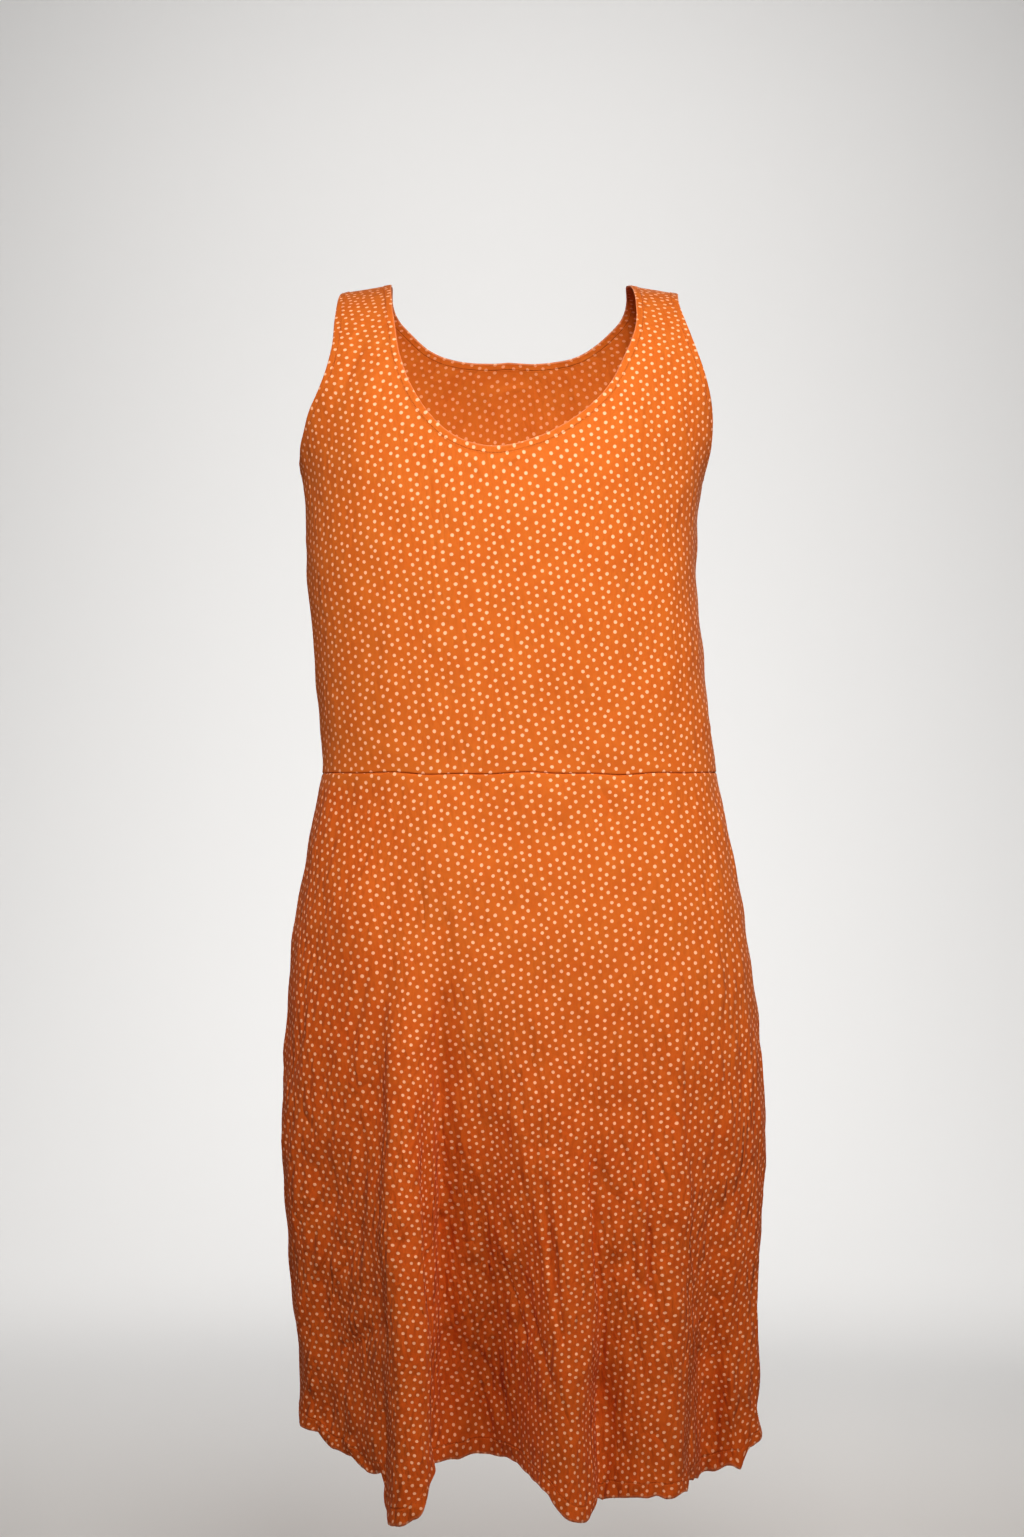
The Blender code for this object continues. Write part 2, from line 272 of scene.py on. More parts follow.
def foldShift(side, turn, share):
    # how far the folds move the cloth out, to the side and down
    out = np.zeros_like(turn)
    sideways = np.zeros_like(turn)
    drop = np.zeros_like(turn)
    for fold in folds[side]:
        grown = np.clip((share - fold.start) / (1 - fold.start), 0, 1)
        growth = grown ** 1.3
        middle = fold.topTurn + (fold.hemTurn - fold.topTurn) * share
        offset = np.clip(np.abs(turn - middle) / fold.halfWidth, 0, 1)
        shape = form["softShape"] + (fold.shape - form["softShape"]) * growth
        bump = (1 - offset ** 2) ** shape
        out += fold.depth * growth * bump
        sideways += fold.lean * growth * bump
        drop += fold.drop * grown ** 3 * bump
    return out, sideways, drop


def softened(line, spacing):
    # the line with its corners rounded, because cloth can't bend sharper than this
    reach = int(round(2 * form["bendRadius"] / spacing))
    places = np.arange(-reach, reach + 1) * spacing
    weights = np.exp(-0.5 * (places / (form["bendRadius"] * 0.7)) ** 2)
    weights /= weights.sum()
    before = 2 * line[0] - line[reach:0:-1]
    after = 2 * line[-1] - line[-2 : -reach - 2 : -1]
    padded = np.concatenate([before, line, after])
    return np.stack([np.convolve(column, weights, "valid") for column in padded.T], axis=-1)


def smooth(value, start, end):
    share = np.clip((value - start) / (end - start), 0, 1)
    return share * share * (3 - 2 * share)


flute = {
    "grown": (0.30, 0.70),
    "widening": 0.010,
    "faceDepth": (0.105, 0.150),
    "faceAcross": (-0.092, -0.078, -0.062, -0.050),
    "undercut": 0.009,
    "flankDepth": (0.110, 0.142),
    "flankAcross": (-0.084, -0.072, -0.060, -0.030),
    "roundedCorner": 0.028,
    "cornerStart": 0.92,
    "cornerDepth": (0.110, 0.135),
    "cornerAcross": (-0.073, -0.061, -0.050, -0.040),
    "slope": 1.20,
    "slopeStart": -0.100,
    "slopeTop": (0.113, 0.016),
    "slopeAcross": (-0.170, -0.145, -0.100, -0.094),
    "softness": 0.008,
}


def band(value, marks, after=None):
    # 1 between the inner two of four marks, 0 outside the outer two
    start, full, falling, end = marks
    ended = smooth(value if after is None else after, falling, end)
    return smooth(value, start, full) * (1 - ended)


def turnedFlute(points, share):
    # the tall flute's face widens over the trough at +X, and at -X it slopes off with no groove
    across, outward = points[:, 0].copy(), points[:, 1].copy()
    grown = smooth(share, *flute["grown"])
    face = smooth(-outward, *flute["faceDepth"]) * band(across, flute["faceAcross"])
    points[:, 0] += flute["widening"] * grown * face
    flank = (1 - smooth(-outward, *flute["flankDepth"])) * band(across, flute["flankAcross"])
    points[:, 0] -= flute["undercut"] * grown * flank
    nearHem = max(share - flute["cornerStart"], 0) / (1 - flute["cornerStart"])
    corner = smooth(-outward, *flute["cornerDepth"]) * nearHem
    corner *= band(points[:, 0], flute["cornerAcross"], across)
    points[:, 2] += flute["roundedCorner"] * corner
    top, growth = flute["slopeTop"]
    slope = flute["slope"] * (flute["slopeStart"] - across) - top - growth * grown
    near = band(across, flute["slopeAcross"]) * grown
    soft = flute["softness"]
    points[:, 1] -= near * soft * np.logaddexp(0, (outward - slope) / soft)


def skirtRow(side, share, columns):
    # one ring of the skirt, from side seam to side seam, and its length
    turn = np.linspace(0, 1, form["dense"])
    hem = readTable(hems[side], "turn", "down", turn)
    top = form["waistDown"]
    points = bodyPoints(side, turn, levelOf(top + (hem - top) * share))
    sidewaysPull = -np.cos(turn * math.pi) * form["sidewaysPull"]
    forwardPull = side * np.sin(turn * math.pi)
    pull = np.hypot(sidewaysPull, forwardPull)
    out, lean, drop = foldShift(side, turn, share)
    points[:, 0] += out * sidewaysPull / pull + lean
    points[:, 1] += out * forwardPull / pull
    points[:, 2] -= drop
    if side == front:
        turnedFlute(points, share)
    line = atShares(points, points, np.linspace(0, 1, form["dense"]))
    soft = softened(line, float(np.linalg.norm(line[1] - line[0])))
    return atShares(soft, soft, columns), lengthsAlong(soft)[-1]


# Creases are placed in millimetres by where they lie on the front or back: across, and down from
# the shoulder line. A trough has a negative height. "edge" over 0 makes the side at +X steeper,
# and under 0 the side at -X.
creaseColumns = "across down toAcross toDown height halfWidth bow edge"
creaseRow = namedtuple("creaseRow", creaseColumns, defaults=(0, 0))
creases = {}
creases[front] = rowsOf(
    creaseRow,
    # straps and bust
    (-118, 32, -158, 130, -2.1, 6, 3),
    (-104, 60, -128, 165, 1.6, 7, -4),
    (150, 50, 120, 150, -1.3, 7, -4),
    (128, 90, 160, 175, 1.3, 7, 2),
    (-8, 154, 22, 141, -2, 3, 1, 0.3),
    (-4, 162, 14, 152, 1.4, 3),
    (-34, 148, -20, 176, 1, 3.5, 1),
    # the bodice below the bust
    (-106, 215, -100, 412, 1.3, 9, 3),
    (112, 205, 116, 415, -1.7, 8, -3, 0.4),
    (135, 230, 128, 400, 1.4, 8, 3),
    (-20, 250, -28, 405, -1, 10, 4),
    (45, 240, 50, 400, 0.9, 11, -4),
    (-34, 385, -26, 416, 1.2, 3, 0, 0.4),
    (70, 392, 78, 417, 0.9, 3),
    # just under the waist seam
    (76, 424, 90, 468, -2, 3.5, 1),
    (-12, 424, -20, 462, 1.6, 4),
    (-92, 425, -100, 480, -1.2, 5, 2),
    # the long turn of the left flute, and its shaded trough
    (-72, 560, -70, 970, 3, 5),
    (-98.5, 600, -97.5, 960, 3.5, 6),
    (-66.5, 520, -65.5, 985, 1.8, 2.4, 1, 0.4),
    (-57, 560, -53, 985, -13, 9, 0, -0.45),
    # the middle of the skirt
    (30, 752, 47.5, 905, -4.6, 2.2, -2, -0.4),
    (25.5, 760, 42, 900, 2.4, 3, -2, 0.2),
    (-10.5, 815, 18, 918, -3.4, 2, 1, -0.3),
    (6, 842, 39, 945, -3.8, 2.2, 2, -0.3),
    (-15, 678, -6, 715, 2, 2.4, 1),
    (69, 722, 77, 872, -6, 2.4, -1.5, -0.4),
    (64, 735, 72, 930, 3.2, 4, -1, 0.4),
    (91, 722, 107.5, 768, -4, 1.9, 1, -0.3),
    (117, 775, 117, 870, -4.4, 2.2, 0.5, -0.3),
    (111, 760, 112, 904, 2.4, 4, 1, 0.3),
    (146, 870, 149, 925, -3.6, 2, 0.5),
    (135, 690, 142, 790, -2.8, 2.2, -1, 0.3),
    (148, 742, 149, 850, 2, 4, -2, 0.3),
    (138, 580, 144, 1040, 9, 12),
    (79, 850, 74, 1000, -4, 2.6, 1, -0.3),
    (150, 794, 154, 894, -2.6, 3, 2),
    (156, 878, 167, 918, 2.4, 2.8, -1),
    (163, 880, 158, 915, -2, 2.4, 1),
    (50, 560, 42, 660, -1, 8, 3),
    (110, 520, 118, 700, 1.2, 9, -4),
    # the left side, pulled from upper right to lower left
    (-122, 470, -150, 600, 1.2, 6, 3),
    (-110, 560, -138, 680, -2.4, 4.5, -3),
    (-118, 640, -152, 760, 2.4, 4, 3, 0.3),
    (-124, 700, -128, 830, -2.6, 5.5, 3, 0.2),
    (-112, 760, -146, 868, -2.2, 3, -2),
    (-116, 830, -154, 925, 1.6, 4.4, 3),
    (-128, 908, -152, 975, -1.4, 4, 1),
    (-150, 650, -168, 740, -2, 3.4, 2),
    (-152, 780, -166, 880, 2, 3.6, -2),
    # near the hem
    (-84, 962, -100, 982, -1.8, 2.6),
    (-140, 985, -128, 990, 2.2, 4),
    (60, 960, 50, 1030, 2, 3.4, -2, 0.3),
    (84, 940, 80, 1010, -2, 3.4, 2),
    (110, 940, 104, 1000, 1.8, 3.4, 1),
    (-20, 930, -8, 990, 1.8, 3.6, 2),
)
creases[back] = rowsOf(
    creaseRow,
    (-118, 40, -150, 140, -1.6, 6, 3),
    (122, 45, 152, 150, -1.6, 6, -3),
    (-12, 80, 20, 74, -1.2, 3, 1),
    (-96, 200, -90, 405, 1.4, 9, 3),
    (88, 190, 94, 410, -1.4, 8, -3),
    (12, 230, 4, 400, 1, 10, 3),
    (-60, 424, -70, 475, -1.8, 4, 1),
    (72, 424, 80, 470, 1.6, 4),
    (60, 540, 64, 900, 3, 3.6, 3, 0.4),
    (-52, 600, -48, 930, 2.8, 3.6, -3, -0.4),
    (4, 640, -4, 940, -2.1, 8, 3),
    (-30, 740, -12, 860, 2.2, 3, 2),
    (110, 600, 140, 720, 2, 4, -3),
    (100, 690, 128, 810, -2.8, 3.6, 2),
    (116, 790, 150, 910, 2.2, 3.4, 3),
    (-116, 620, -138, 740, 2.2, 4, 3),
    (-104, 730, -130, 850, -2.8, 3.8, -2),
    (-118, 840, -146, 940, 2, 3.2, 2),
    (34, 940, 26, 985, 1.8, 3.2, 1),
    (-76, 935, -84, 985, -1.8, 3.2, 1),
)

# How far the hem strays down from its cut line, by its place across, both in millimetres.
strayMark = namedtuple("strayMark", "across drop")
hemStrays = {}
hemStrays[front] = rowsOf(
    strayMark,
    (-178, 0), (-170, -3.3), (-162.6, -8), (-155.1, -4.2), (-147.6, -2.5), (-132.5, -4.5),
    (-125, -2.5), (-117.5, 1.5), (-106, -4), (-100, 9), (-92.6, 3.3), (-85.3, 2.5), (-77.9, -1),
    (-70.6, -1), (-67.5, 0), (-65.5, 1), (-61.5, 2), (-42.2, 5.9), (-27.2, 3.3), (-12.1, 3),
    (2.9, 0), (18, 0), (25.5, -5.9), (33, -5), (40.5, -1.7), (55.6, 0), (63.1, 1.7),
    (70.6, -2.5), (78.2, 5), (85.7, 1.7), (100.7, -1.7), (115.8, -3.3), (123.3, -5.9),
    (130.8, -2.5), (145.9, -3), (150, 0), (160.9, 7.5), (176, 6.5), (191, 1), (198.6, 8),
    (206.1, -8),
)
hemStrays[back] = rowsOf(
    strayMark,
    (-178, 0), (-170, -3.3), (-162.6, -8), (-147.6, -3), (-120, 2), (-80, -2), (-30, 3),
    (30, -3), (90, 2), (150, -2), (198.6, 0), (206.1, -8),
)


def creaseRelief(side, points):
    # soft troughs and ridges along bowed lines that fade out at both ends
    across = points[:, 0] * 1000
    down = -points[:, 2] * 1000
    relief = np.zeros(len(points))
    for crease in creases[side]:
        start = np.array([crease.across, crease.down])
        run = np.array([crease.toAcross, crease.toDown]) - start
        length = np.hypot(*run)
        along = ((across - start[0]) * run[0] + (down - start[1]) * run[1]) / length ** 2
        beside = ((across - start[0]) * run[1] - (down - start[1]) * run[0]) / length
        beside = beside - crease.bow * 4 * along * (1 - along)
        fade = np.clip(1 - (2 * along - 1) ** 2, 0, 1) ** 0.8
        reach = crease.halfWidth * (1 - crease.edge * np.sign(beside))
        relief += crease.height * fade * np.exp(-((beside / reach) ** 2))
    return relief / 1000


def crumpleRelief(points, kind, rng):
    # many short faint creases, laid on a fine grid over the hanging cloth and read back from it
    around = points[:, 0] * (1 - 3 * np.abs(points[:, 1]))
    flat = np.stack([around, points[:, 2]], axis=-1)
    cell = kind["cell"]
    low = flat.min(axis=0) - 2 * cell
    size = np.ceil((flat.max(axis=0) - low) / cell).astype(int) + 3
    grid = np.zeros(size)
    for _ in range(kind["count"]):
        middle = low + size * cell * rng.random(2)
        angle = rng.normal(kind["angle"](*middle), kind["spread"])
        half = rng.uniform(*kind["lengths"]) / 2
        width = rng.uniform(*kind["widths"])
        height = rng.normal(0, kind["steepness"]) * width * kind["strength"](*middle)
        bow = rng.normal(0, 0.18)
        first = np.maximum(((middle - half - 3 * width - low) / cell).astype(int), 0)
        last = np.minimum(((middle + half + 3 * width - low) / cell).astype(int) + 2, size)
        u = low[0] + np.arange(first[0], last[0])[:, None] * cell - middle[0]
        v = low[1] + np.arange(first[1], last[1])[None, :] * cell - middle[1]
        along = (u * math.sin(angle) + v * math.cos(angle)) / half
        beside = u * math.cos(angle) - v * math.sin(angle)
        beside = beside - bow * half * (1 - along ** 2)
        fade = np.clip(1 - along ** 2, 0, 1) ** 1.2
        shape = np.exp(-np.abs(beside / width) ** 1.5)
        grid[first[0] : last[0], first[1] : last[1]] += height * fade * shape
    place = (flat - low) / cell
    across, down = place.astype(int).T
    right, below = (place % 1).T
    near = grid[across, down] * (1 - right) + grid[across + 1, down] * right
    far = grid[across, down + 1] * (1 - right) + grid[across + 1, down + 1] * right
    return near * (1 - below) + far * below


def waveRelief(flat, kind, rng):
    # slow uneven waves of the hanging cloth
    relief = np.zeros(len(flat))
    for _ in range(kind["waves"]):
        length = rng.uniform(*kind["waveLengths"])
        angle = rng.normal(0, 0.55)
        phase = rng.uniform(0, 2 * math.pi)
        place = flat[:, 0] * math.cos(angle) + flat[:, 1] * math.sin(angle)
        relief += np.sin(2 * math.pi * place / length + phase) * length
    spread = kind["waves"] ** 0.5 * np.mean(kind["waveLengths"])
    return relief / spread * kind["waveHeight"]


def edgeRipple(along, kind, rng):
    # the small uneven ripple of a light hem, along its length
    lengths = rng.uniform(*kind["rippleLengths"], kind["ripples"])
    phases = rng.uniform(0, 2 * math.pi, kind["ripples"])
    waves = np.sin(2 * math.pi * along[:, None] / lengths + phases)
    return waves.sum(axis=1) * kind["rippleHeight"] / kind["ripples"] ** 0.5


def closeAtEnds(count, tightness=0.75):
    # shares from 0 to 1 that lie closer together near both ends
    even = np.linspace(0, 1, count + 1)
    return even - tightness * np.sin(2 * math.pi * even) / (2 * math.pi)


def quadsBetween(rows):
    return [
        (upper[cell], lower[cell], lower[cell + 1], upper[cell + 1])
        for upper, lower in zip(rows, rows[1:])
        for cell in range(len(upper) - 1)
    ]


def facingOut(downwards, sideways, side):
    # normals that face away from the wearer
    normals = np.cross(downwards, sideways)
    normals /= np.linalg.norm(normals, axis=-1, keepdims=True)
    middle = tuple(size // 2 for size in normals.shape[:-1])
    return normals if normals[middle][1] * side > 0 else -normals


def gridNormals(points, side):
    return facingOut(np.gradient(points, axis=0), np.gradient(points, axis=1), side)


def bodyNormals(side, turn, level):
    step = 1e-4
    downwards = bodyPoints(side, turn, level + step) - bodyPoints(side, turn, level)
    sideways = bodyPoints(side, turn + step, level) - bodyPoints(side, turn - step, level)
    return facingOut(downwards, sideways, side)


def distanceTo(points, line):
    # the least distance from each point to a line of points
    nearest = np.full(len(points), 9.0)
    for place in line:
        nearest = np.minimum(nearest, np.linalg.norm(points - place, axis=1))
    return nearest


bodiceSettings = {
    "strapColumns": 40,
    "scoopColumns": 92,
    "strapRows": 62,
    "bodyRows": 118,
    "followTop": 0.35,
    "band": 0.007,
    "wall": 0.0006,
    "turnedWall": 0.0013,
    "nodes": {front: "front_bodice", back: "back_bodice"},
    "flat": {front: (0.46, 0.43), back: (0.44, 0.43)},
    "area": {front: 0.150, back: 0.150},
    "seeds": {front: 11, back: 12},
    # how crinkled the cloth is, which sets its sharp little creases and a little painted shade in
    # its colour
    "crinkleAndShade": lambda u, v: 0.30 + 0 * u,
    "crumple": {
        "cell": 0.001,
        "count": 700,
        "strength": lambda u, v: 1.0,
        "angle": lambda u, v: 2.5 * u,
        "spread": 0.7,
        "lengths": (0.012, 0.050),
        "widths": (0.0022, 0.0050),
        "steepness": 0.070,
        "waves": 14,
        "waveLengths": (0.030, 0.110),
        "waveHeight": 0.0007,
        "ripples": 6,
        "rippleLengths": (0.016, 0.050),
        "rippleHeight": 0.0002,
    },
}


def bodiceSheet(side):
    kind = bodiceSettings
    strapRows = kind["strapRows"]
    neck = neckTrace(side, 2 * strapRows + kind["scoopColumns"])
    leftArm = armTrace(side, "left", strapRows)
    rightArm = armTrace(side, "right", strapRows)
    share = closeAtEnds(kind["strapColumns"])[None, :, None]

    def strap(firstEdge, secondEdge):
        pairs = firstEdge[:, None] * (1 - share) + secondEdge[:, None] * share
        growth = np.linspace(0, 1, len(firstEdge))[:, None] ** 2
        pairs[:, :, 1] += form["strapSag"] * growth * np.sin(math.pi * share[:, :, 0])
        return pairs

    leftStrap = strap(leftArm, neck[: strapRows + 1])
    rightStrap = strap(neck[::-1][: strapRows + 1], rightArm)
    scoop = neck[strapRows : strapRows + kind["scoopColumns"] + 1]
    top = np.concatenate([leftStrap[-1][:-1], scoop, rightStrap[-1][1:]])
    turns = np.linspace(0, 1, form["dense"])
    levels = np.full_like(turns, levelOf(form["waistDown"]))
    waistLine = np.stack([turns, levels], axis=-1)
    topPoints = bodyPoints(side, top[:, 0], top[:, 1])
    topShares = lengthsAlong(topPoints) / lengthsAlong(topPoints)[-1]
    follow = kind["followTop"]
    waistShares = follow * topShares + (1 - follow) * np.linspace(0, 1, len(top))
    waist = atShares(bodyPoints(side, turns, levels), waistLine, waistShares)
    rowShare = closeAtEnds(kind["bodyRows"])[:, None, None]
    body = top * (1 - rowShare) + waist * rowShare

    numbers = {}
    faces = []
    for block in (leftStrap, rightStrap, body):
        keys = [[tuple(pair) for pair in np.round(row, 9)] for row in block]
        rows = [[numbers.setdefault(key, len(numbers)) for key in row] for row in keys]
        faces += quadsBetween(rows)
    pairs = np.array(list(numbers))
    turn = np.clip(pairs[:, 0], 0, 1)
    level = np.maximum(pairs[:, 1], 0)
    points = bodyPoints(side, turn, level)
    normals = bodyNormals(side, np.clip(turn, 0.001, 0.999), level)

    # laid flat: round the section from the centre line, and down along the cloth
    fromCentre = turn - 0.5
    steps = np.linspace(0, 1, 24)[:, None]
    path = bodyPoints(side, 0.5 + fromCentre * steps, np.broadcast_to(level, (24, len(level))))
    around = np.linalg.norm(np.diff(path, axis=0), axis=2).sum(axis=0) * np.sign(fromCentre)
    flat = np.stack([around, -level * form["vaultDrop"] * math.pi / 2], axis=-1)

    edges = [bodyPoints(side, line[:, 0], line[:, 1]) for line in (neck, leftArm, rightArm)]
    fromEdge = distanceTo(points, np.concatenate(edges))
    fromWaist = (levelOf(form["waistDown"]) - level) * form["vaultDrop"] * math.pi / 2
    return points, normals, flat, faces, fromEdge, fromWaist, turn, flat


skirtSettings = {
    "columns": {front: 366, back: 280},
    "rows": 120,
    "band": 0.015,
    "wall": 0.0006,
    "turnedWall": 0.0014,
    "nodes": {front: "front_skirt", back: "back_skirt"},
    "flat": {front: (0.81, 0.63), back: (0.60, 0.60)},
    "area": {front: 0.37, back: 0.30},
    "seeds": {front: 21, back: 22},
    "takeUp": 0.20,
    "takeUpFrom": (0.15, 0.62),
    # how crinkled the cloth is, which sets its sharp little creases and the painted shade in its
    # colour: more lower down and towards -X
    "crinkleAndShade": lambda u, v: 0.35 + 0.65 * smooth(-v, 0.08, 0.40) + 0.35 * smooth(-u, 0.04, 0.18),
    "crumple": {
        "cell": 0.001,
        "count": 2800,
        "strength": lambda u, v: 0.5 + 0.5 * smooth(-v, 0.50, 0.82) + 0.1 * smooth(-u, 0.04, 0.12),
        "angle": lambda u, v: 0.34 * smooth(-u, 0.02, 0.09) - 0.16 * smooth(u, 0.02, 0.12),
        "spread": 0.26,
        "lengths": (0.020, 0.100),
        "widths": (0.0020, 0.0052),
        "steepness": 0.17,
        "waves": 16,
        "waveLengths": (0.035, 0.120),
        "waveHeight": 0.0011,
        "ripples": 9,
        "rippleLengths": (0.016, 0.050),
        "rippleHeight": 0.0006,
    },
}


def newPiece(name, points, faces, *finishes):
    mesh = bpy.data.meshes.new(name)
    mesh.from_pydata(points.tolist(), [], faces)
    mesh.shade_smooth()
    for finish in finishes:
        mesh.materials.append(finish)
    piece = bpy.data.objects.new(name, mesh)
    bpy.context.scene.collection.objects.link(piece)
    return piece


def laidOut(points, rough):
    # the panel unrolled from every few rows and columns, so that its dots stay round, then
    # turned and sized to match the rough layout
    rows = np.arange(0, points.shape[0], 4)
    columns = np.arange(0, points.shape[1], 2)
    coarse = points[np.ix_(rows, columns)]
    numbers = np.arange(len(rows) * len(columns)).reshape(len(rows), len(columns))
    panel = newPiece("layout", coarse.reshape(-1, 3), quadsBetween(numbers.tolist()))
    mesh = panel.data
    mesh.uv_layers.new(name="layout")
    bpy.context.view_layer.objects.active = panel
    panel.select_set(True)
    bpy.ops.object.mode_set(mode="EDIT")
    bpy.ops.mesh.select_all(action="SELECT")
    bpy.ops.uv.unwrap(method="ANGLE_BASED")
    bpy.ops.object.mode_set(mode="OBJECT")
    corner = np.zeros(len(mesh.loops), np.int32)
    mesh.loops.foreach_get("vertex_index", corner)
    found = np.zeros(2 * len(mesh.loops), np.float32)
    mesh.uv_layers[0].data.foreach_get("uv", found)
    plan = np.zeros((numbers.size, 2))
    plan[corner] = found.reshape(-1, 2)
    bpy.data.objects.remove(panel)

    wanted = rough[np.ix_(rows, columns)].reshape(-1, 2) @ np.array([1, 1j])
    fits = []
    for turned in (plan @ np.array([1, 1j]), plan @ np.array([1, -1j])):
        terms = np.stack([turned, np.ones_like(turned)], axis=-1)
        answer = np.linalg.lstsq(terms, wanted, rcond=None)[0]
        fitted = terms @ answer
        fits.append((float(np.abs(fitted - wanted).mean()), fitted))
    best = min(fits, key=lambda fit: fit[0])[1].reshape(len(rows), len(columns))
    allRows = np.arange(points.shape[0])
    allColumns = np.arange(points.shape[1])
    tall = np.stack([np.interp(allRows, rows, line) for line in best.T], axis=1)
    wide = np.stack([np.interp(allColumns, columns, line) for line in tall], axis=0)

    # the lower cloth is crinkled, so more of it lies in each centimetre
    places = np.linspace(-0.1, 0.9, 400)
    growth = skirtSettings["takeUp"] * smooth(places, *skirtSettings["takeUpFrom"])
    extra = np.concatenate([[0], np.cumsum(growth[:-1]) * (places[1] - places[0])])
    fallen = -wide.imag
    across = wide.real * (1 + np.interp(fallen, places, growth))
    return np.stack([across, -fallen - np.interp(fallen, places, extra)], axis=-1)


def skirtSheet(side):
    kind = skirtSettings
    columns = np.linspace(0, 1, kind["columns"][side] + 1)
    shares = closeAtEnds(kind["rows"], 0.6)
    made = [skirtRow(side, share, columns) for share in shares]
    points = np.array([row for row, _ in made])
    lengths = np.array([length for _, length in made])
    normals = gridNormals(points, side)
    alongCloth = np.linalg.norm(np.diff(points, axis=0), axis=2)
    fallen = np.concatenate([np.zeros((1, len(columns))), np.cumsum(alongCloth, axis=0)])
    flat = np.stack([(columns[None, :] - 0.5) * lengths[:, None], -fallen], axis=-1)
    numbers = np.arange(points.shape[0] * points.shape[1]).reshape(points.shape[:2])
    fromEdge = fallen[-1:] - fallen
    turn = np.broadcast_to(columns[None, :], fallen.shape)
    return (
        points.reshape(-1, 3),
        normals.reshape(-1, 3),
        flat.reshape(-1, 2),
        quadsBetween(numbers.tolist()),
        fromEdge.ravel(),
        fallen.ravel(),
        turn.ravel(),
        laidOut(points, flat).reshape(-1, 2),
    )


settling = {
    # share of its creases that the cloth keeps at this place, and how far that reaches
    "sideSeam": (0.0, 0.020),
    "waistSeam": (0.15, 0.018),
    "shoulder": (0.25, 0.090),
    "edge": (0.55, 0.014),
    # how far the cloth dips at this place, how far out the dip starts, and how sharp it is
    "waistDip": (0.0010, 0.0012, 1.3),
    "sideDip": (0.0007, 0.0030, 1.5),
    "edgeRoll": (0.0005, 0.0016, 2.0),
    # height, pace and start of each wave in how a seam wanders
    "waistWander": ((0.0008, 47, 0.6), (0.0005, 113, 0)),
    "sideWander": ((0.0007, 61, 1), (0.0005, 139, 2)),
    "panelWidth": 0.45,
    "calmFlute": (-0.085, 0.018, 0.6),
    "rippleReach": (0.018, 1.6),
    "waistReach": 0.050,
    "sideReach": 0.030,
    "strayReach": 0.045,
}


def kept(distance, name):
    share, reach = settling[name]
    return share + (1 - share) * smooth(distance, 0, reach)


def dip(distance, name):
    depth, reach, power = settling[name]
    return depth * np.clip(1 - distance / reach, 0, 1) ** power


def wander(place, name, sign=1):
    waves = settling[name]
    return sum(height * np.sin(place * pace + start * sign) for height, pace, start in waves)


def settledPoints(kind, side, sheet):
    # the sheet's points once its creases, crumple, seams and hem are in place
    points, normals, flat, _, fromEdge, fromWaist, turn, _ = sheet
    across = points[:, 0]
    rng = np.random.default_rng(kind["seeds"][side])
    crumple = crumpleRelief(points, kind["crumple"], rng)
    crumple += waveRelief(flat, kind["crumple"], rng)
    if kind is skirtSettings and side == front:
        # the face of the tall flute hangs smooth
        middle, width, share = settling["calmFlute"]
        crumple *= 1 - share * np.exp(-(((across - middle) / width) ** 2))
    fromSide = np.minimum(turn, 1 - turn) * settling["panelWidth"]
    calm = kept(fromSide, "sideSeam") * kept(fromWaist, "waistSeam")
    calm *= kept(-points[:, 2], "shoulder") * kept(fromEdge, "edge")
    seamless = smooth(fromSide, 0, 0.012)
    rippleReach, rippleGain = settling["rippleReach"]
    nearEdge = np.clip(1 - fromEdge / rippleReach, 0, 1) * seamless
    relief = (creaseRelief(side, points) + crumple) * calm
    relief += rippleGain * edgeRipple(flat[:, 0], kind["crumple"], rng) * nearEdge
    relief -= dip(fromWaist, "waistDip") + dip(fromSide, "sideDip")
    relief -= dip(fromEdge, "edgeRoll")
    moved = points + normals * relief[:, None]
    nearWaist = np.clip(1 - fromWaist / settling["waistReach"], 0, 1) ** 2
    moved[:, 2] += wander(across, "waistWander") * nearWaist
    sign = np.sign(turn - 0.5)
    nearSide = 1 - smooth(fromSide, 0, settling["sideReach"])
    moved[:, 0] += sign * wander(-points[:, 2], "sideWander", sign) * nearSide
    if kind is skirtSettings:
        places = [mark.across / 1000 for mark in hemStrays[side]]
        stray = np.interp(across, places, [mark.drop / 1000 for mark in hemStrays[side]])
        stray += edgeRipple(flat[:, 0] + 0.3, kind["crumple"], rng) * seamless
        moved[:, 2] -= stray * np.clip(1 - fromEdge / settling["strayReach"], 0, 1) ** 1.5
    return moved


